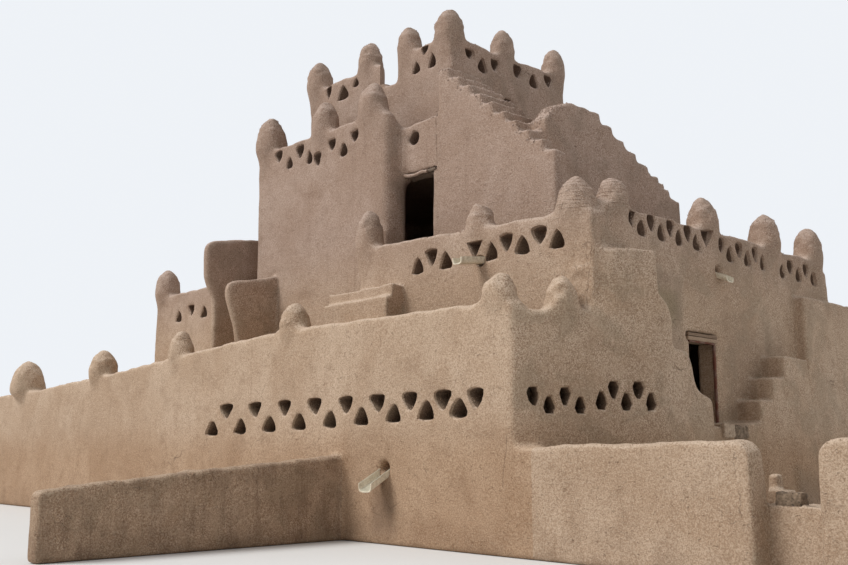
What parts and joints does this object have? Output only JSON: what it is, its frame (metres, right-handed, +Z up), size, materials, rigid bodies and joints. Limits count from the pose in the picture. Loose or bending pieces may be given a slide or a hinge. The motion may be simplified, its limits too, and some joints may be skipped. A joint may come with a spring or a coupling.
{
  "type": "adobe house",
  "caption": "Earth-built terraced house with round merlons, parapets pierced by triangular holes, outside steps and a lookout.",
  "frame": {"origin": "centre of the footprint at the lowest ground level", "axes": "+Z up, +X along the long front to its right end, +Y from the front to the back"},
  "size_m": [33.31, 18.15, 13.08],
  "materials": {
    "earth_render": "matt hand-smoothed earth render",
    "earth_fill": "matt rammed earth",
    "timber": "weathered timber",
    "spout_trough": "weathered pale paint"
  },
  "bodies": {
    "root": {"terrace_front_wall": "earth_render", "terrace_end_wall": "earth_render", "terrace_far_wall": "earth_render", "terrace_back_wall": "earth_render", "terrace_floor": "earth_fill", "terrace_roof": "earth_render", "terrace_spout": "spout_trough", "roof_steps": "earth_render", "low_buttress": "earth_render", "high_buttress": "earth_render", "wing_front_wall": "earth_render", "wing_side_wall": "earth_render", "wing_back_wall": "earth_render", "wing_floor": "earth_fill", "wing_roof": "earth_render", "main_front_wall": "earth_render", "main_right_wall": "earth_render", "main_back_wall": "earth_render", "main_left_wall": "earth_render", "main_floor": "earth_fill", "main_roof": "earth_render", "front_roof_spout": "spout_trough", "side_roof_spout": "spout_trough", "corner_pier": "earth_render", "door_screen_wall": "earth_render", "door_frame": "timber", "door_lintel": "timber", "door_sill": "earth_render", "side_stair": "earth_render", "rear_buttress": "earth_render", "tower_front_wall": "earth_render", "tower_roof": "earth_render", "upper_door_wall": "earth_render", "upper_door_lintel": "timber", "stair_front_wall": "earth_render", "roof_stair": "earth_render", "upper_right_wall": "earth_render", "upper_back_wall": "earth_render", "upper_roof": "earth_render", "lookout_front_wall": "earth_render", "lookout_right_wall": "earth_render", "lookout_back_wall": "earth_render", "lookout_left_wall": "earth_render", "lookout_roof": "earth_render", "left_yard_wall": "earth_render", "right_yard_wall": "earth_render", "gate_steps": "earth_render"}
  },
  "joints": []
}
